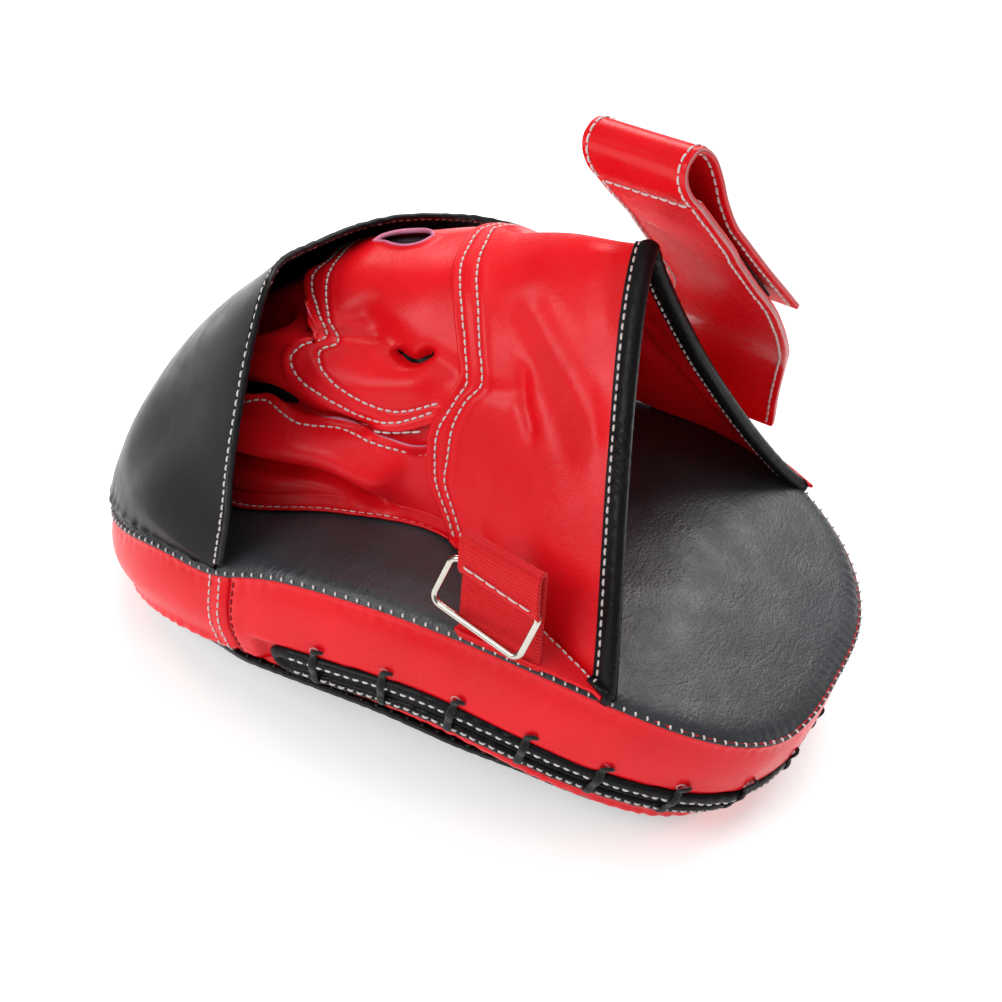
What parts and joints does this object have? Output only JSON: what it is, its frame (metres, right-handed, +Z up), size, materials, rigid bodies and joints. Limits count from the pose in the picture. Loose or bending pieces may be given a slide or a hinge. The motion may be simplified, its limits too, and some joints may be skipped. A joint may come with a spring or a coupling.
{
  "type": "curved boxing focus pad",
  "caption": "Curved hand-held boxing focus pad: padded strike face under an open leather glove with finger hood, wrist strap and ring.",
  "frame": {"origin": "under the middle of the bounding box, on the surface the pad lies on", "axes": "+Z up, away from the strike face; +X towards the wrist end of the pad; -Y towards the side with the ring"},
  "size_m": [0.2718, 0.183, 0.2202],
  "materials": {
    "red_leather": "semi-gloss coated leather, fine grain",
    "strap_leather": "gloss coated leather, two plies",
    "red_webbing": "ribbed woven webbing",
    "black_leather": "satin smooth leather",
    "black_grain": "pebbled leather",
    "black_trim": "satin edge binding",
    "lace_cord": "flat woven cord",
    "nickel": "nickel-plated wire",
    "foam": "closed-cell foam",
    "hook_and_loop": "hook and loop tape"
  },
  "bodies": {
    "pad": {"strike_face_panel": "black_leather", "face_foam": "foam", "middle_foam": "foam", "back_foam": "foam", "back_panel": "black_grain", "gusset_main": "red_leather", "gusset_front": "red_leather", "vent_lip_upper": "black_trim", "vent_lip_lower": "black_trim", "vent_liner": "black_trim", "lace_tie_01": "lace_cord", "lace_tie_02": "lace_cord", "lace_tie_03": "lace_cord", "lace_tie_04": "lace_cord", "lace_tie_05": "lace_cord", "lace_tie_06": "lace_cord", "lace_tie_07": "lace_cord", "lace_tie_08": "lace_cord", "lace_tie_09": "lace_cord", "lace_tie_10": "lace_cord", "lace_tie_11": "lace_cord", "lace_tie_12": "lace_cord", "lace_tie_13": "lace_cord", "lace_tie_14": "lace_cord", "lace_tie_15": "lace_cord", "lace_tie_16": "lace_cord", "lace_tie_17": "lace_cord", "finger_hood": "black_leather", "hood_hem": "black_trim", "finger_sleeve": "red_leather", "knuckle_panel": "red_leather", "thumb_panel": "red_leather", "cuff_panel": "red_leather", "cuff_binding": "black_trim", "base_strip_near": "red_leather", "base_strip_far": "red_leather", "ring_webbing": "red_webbing", "strap_base": "strap_leather", "loop_patch": "hook_and_loop"},
    "strap_band": {"strap_band": "strap_leather"},
    "strap_tail": {"strap_tail": "strap_leather", "hook_patch": "hook_and_loop"},
    "ring": {"rectangular_ring": "nickel"}
  },
  "joints": [
    {"name": "strap_lift", "type": "hinge", "parent": "pad", "child": "strap_band", "pos_m": [0.05067, 0.0129, 0.1767], "axis": [0.9448, -0.2799, 0.17], "range_deg": [0, 38]},
    {"name": "tail_open", "type": "hinge", "parent": "strap_band", "child": "strap_tail", "pos_m": [0.03705, -0.00926, 0.21591], "axis": [0.9448, -0.2799, 0.17], "range_deg": [0, 170]},
    {"name": "ring_swing", "type": "hinge", "parent": "pad", "child": "ring", "pos_m": [0.03746, -0.07876, 0.09363], "axis": [-0.9739, 0.1269, 0.1883], "range_deg": [0, 95]}
  ]
}
